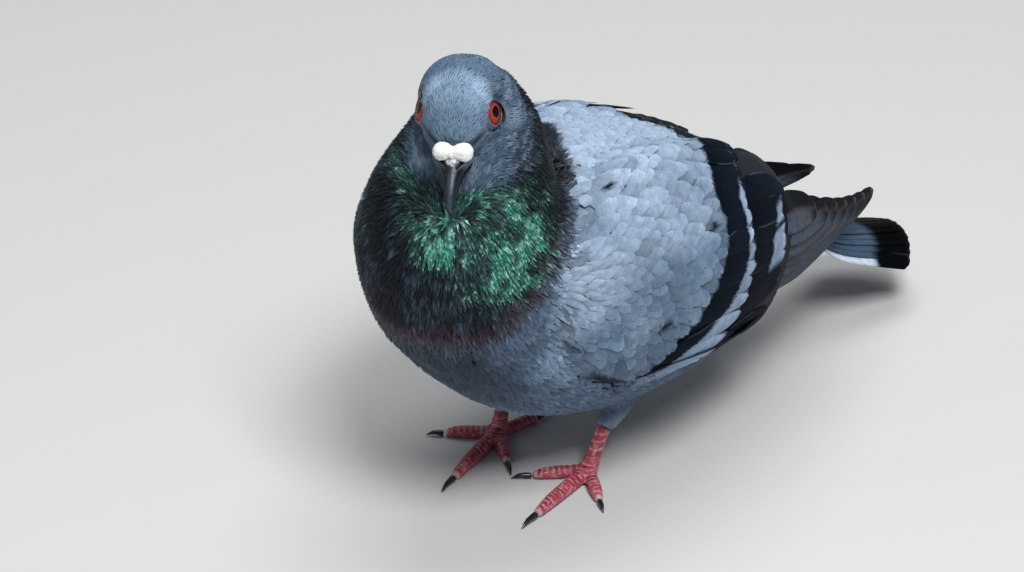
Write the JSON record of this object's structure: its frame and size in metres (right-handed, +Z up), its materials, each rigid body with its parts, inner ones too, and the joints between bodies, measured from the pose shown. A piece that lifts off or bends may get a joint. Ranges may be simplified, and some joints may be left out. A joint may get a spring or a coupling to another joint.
{
  "type": "pigeon figure",
  "caption": "Life-size still figure of a plump rock pigeon, standing with folded wings and its head turned to its left.",
  "frame": {"origin": "the middle of the bird's box at floor level, between its feet and its tail", "axes": "-Y is the way the bird faces, +X its own left, +Z up"},
  "size_m": [0.0994, 0.2584, 0.1678],
  "materials": {
    "head_feathers": "matt, fine grey-blue feathers",
    "neck_feathers": "dark slate with a green and purple sheen",
    "belly_feathers": "matt, soft blue-grey feathers",
    "wing_feathers": "matt pale blue-grey with two black bars",
    "flight_feathers": "satin blackish brown",
    "tail_feathers": "satin grey with a black end band",
    "bill": "glossy horn, near black",
    "cere": "chalky white",
    "eye": "wet gloss, red iris and black pupil",
    "leg_skin": "satin scaled skin, pinkish red",
    "claw": "glossy black horn"
  },
  "bodies": {
    "root": {"head": "head_feathers", "neck": "neck_feathers", "trunk": "belly_feathers", "wing_left": "wing_feathers", "wing_right": "wing_feathers", "primaries_left": "flight_feathers", "primaries_right": "flight_feathers", "tail": "tail_feathers", "eye_left": "eye", "eye_right": "eye", "bill_upper": "bill", "bill_lower": "bill", "cere": "cere", "thigh_left": "belly_feathers", "foot_left": "leg_skin", "toe_inner_left": "leg_skin", "claw_inner_left": "claw", "toe_middle_left": "leg_skin", "claw_middle_left": "claw", "toe_outer_left": "leg_skin", "claw_outer_left": "claw", "toe_hind_left": "leg_skin", "claw_hind_left": "claw", "thigh_right": "belly_feathers", "foot_right": "leg_skin", "toe_inner_right": "leg_skin", "claw_inner_right": "claw", "toe_middle_right": "leg_skin", "claw_middle_right": "claw", "toe_outer_right": "leg_skin", "claw_outer_right": "claw", "toe_hind_right": "leg_skin", "claw_hind_right": "claw"}
  },
  "joints": []
}
